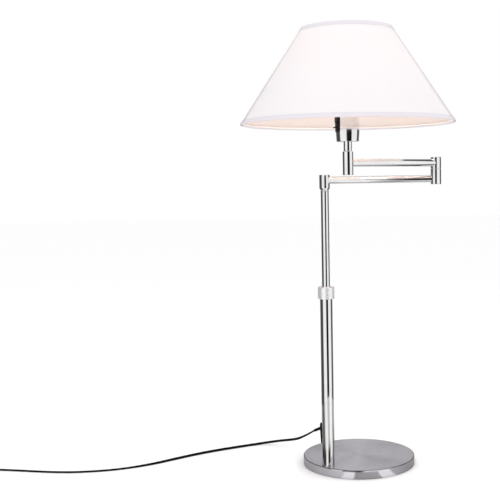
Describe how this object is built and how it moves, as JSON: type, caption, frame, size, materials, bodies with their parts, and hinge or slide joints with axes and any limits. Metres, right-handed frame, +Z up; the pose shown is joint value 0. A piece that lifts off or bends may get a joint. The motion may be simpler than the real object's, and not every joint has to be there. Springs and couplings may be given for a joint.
{
  "type": "swing-arm table lamp",
  "caption": "Chrome swing-arm lamp with a round weighted base, telescopic post, folding double arm, sleeve switch, black lead and white empire shade.",
  "frame": {"origin": "on the floor, under the centre of the round base", "axes": "+Z up along the post; at rest the lower arm points to +X, turned 11 degrees towards -Y, and the shade is over -Y"},
  "size_m": [1.0281, 0.5786, 0.8547],
  "materials": {
    "chrome": "mirror-polished chrome plate",
    "satin_chrome": "satin chrome, spun and brushed",
    "black_plastic": "moulded black plastic, fine grain",
    "black_lead": "smooth black vinyl sheath",
    "inner_lead": "vinyl sheath",
    "tie": "woven hook-and-loop strap",
    "felt": "black wool felt",
    "iron": "rough cast, dipped in black paint",
    "zinc_steel": "turned and zinc plated",
    "nylon": "natural nylon",
    "brass": "pressed brass",
    "pin_metal": "nickel-plated pins",
    "porcelain": "glazed electrical porcelain",
    "ring_plastic": "moulded thermoset plastic",
    "white_wire": "white powder-coated steel wire",
    "lining": "smooth translucent styrene-faced lining",
    "shade_cloth": "fine plain-weave white cloth, stretched",
    "hem_tape": "folded self-coloured tape",
    "opal_glass": "opal glass, lit",
    "bulb_cap_metal": "rolled thread"
  },
  "bodies": {
    "base": {"base_felt": "felt", "base_cover": "satin_chrome", "base_weight": "iron", "foot_washer": "zinc_steel", "foot_nut": "zinc_steel", "tube_foot": "zinc_steel", "outer_tube": "chrome", "lead_grommet": "black_plastic", "strain_relief": "black_plastic", "guide_bush": "nylon", "base_lead": "inner_lead", "mains_lead": "black_lead", "lead_coil": "black_lead", "lead_tail": "black_lead", "lead_tie": "tie", "plug_body": "black_plastic", "plug_pins": "pin_metal"},
    "collar": {"lock_collar": "satin_chrome"},
    "inner_post": {"inner_tube": "chrome", "stop_ring": "nylon", "post_spindle": "zinc_steel", "post_washer": "nylon", "post_nut": "zinc_steel", "post_lead": "inner_lead"},
    "lower_arm": {"swivel_head": "chrome", "swivel_cap": "chrome", "lower_arm_tube": "chrome", "elbow_lower_knuckle": "chrome", "elbow_spindle": "zinc_steel", "elbow_washer": "nylon", "elbow_nut": "zinc_steel", "lower_arm_lead": "inner_lead"},
    "upper_arm": {"elbow_upper_knuckle": "chrome", "elbow_cap": "chrome", "upper_arm_tube": "chrome", "stem_knuckle": "chrome", "stem_nipple": "zinc_steel", "stem_nut": "zinc_steel", "neck_tube": "chrome", "upper_arm_lead": "inner_lead", "holder_cup": "chrome", "holder_sleeve": "chrome", "holder_core": "porcelain", "thread_shell": "brass", "centre_contact": "brass", "switch_body": "black_plastic", "shade_rings": "ring_plastic", "shade_carrier": "white_wire", "shade_top_wire": "white_wire", "shade_bottom_wire": "white_wire", "shade_lining": "lining", "shade_fabric": "shade_cloth", "shade_hem_tapes": "hem_tape", "bulb_glass": "opal_glass", "bulb_cap": "bulb_cap_metal"},
    "switch": {"switch_lever": "black_plastic"}
  },
  "joints": [
    {"name": "collar_twist", "type": "hinge", "parent": "base", "child": "collar", "pos_m": [-0.06499, -0.07295, 0.366], "axis": [0, 0, 1], "range_deg": [0, 90]},
    {"name": "height_slide", "type": "slide", "parent": "base", "child": "inner_post", "axis": [0, 0, 1], "range_m": [-0.17, 0.019]},
    {"name": "post_swivel", "type": "hinge", "parent": "inner_post", "child": "lower_arm", "pos_m": [-0.06499, -0.07295, 0.58805], "axis": [0, 0, 1], "range_deg": [-165, 165]},
    {"name": "elbow_swivel", "type": "hinge", "parent": "lower_arm", "child": "upper_arm", "pos_m": [0.14802, -0.11435, 0.60705], "axis": [0, 0, 1], "range_deg": [-32, 297]},
    {"name": "switch_toggle", "type": "hinge", "parent": "upper_arm", "child": "switch", "pos_m": [-0.04474, -0.2501, 0.68155], "axis": [0.342, -0.9397, 0], "range_deg": [-30, 0]}
  ]
}
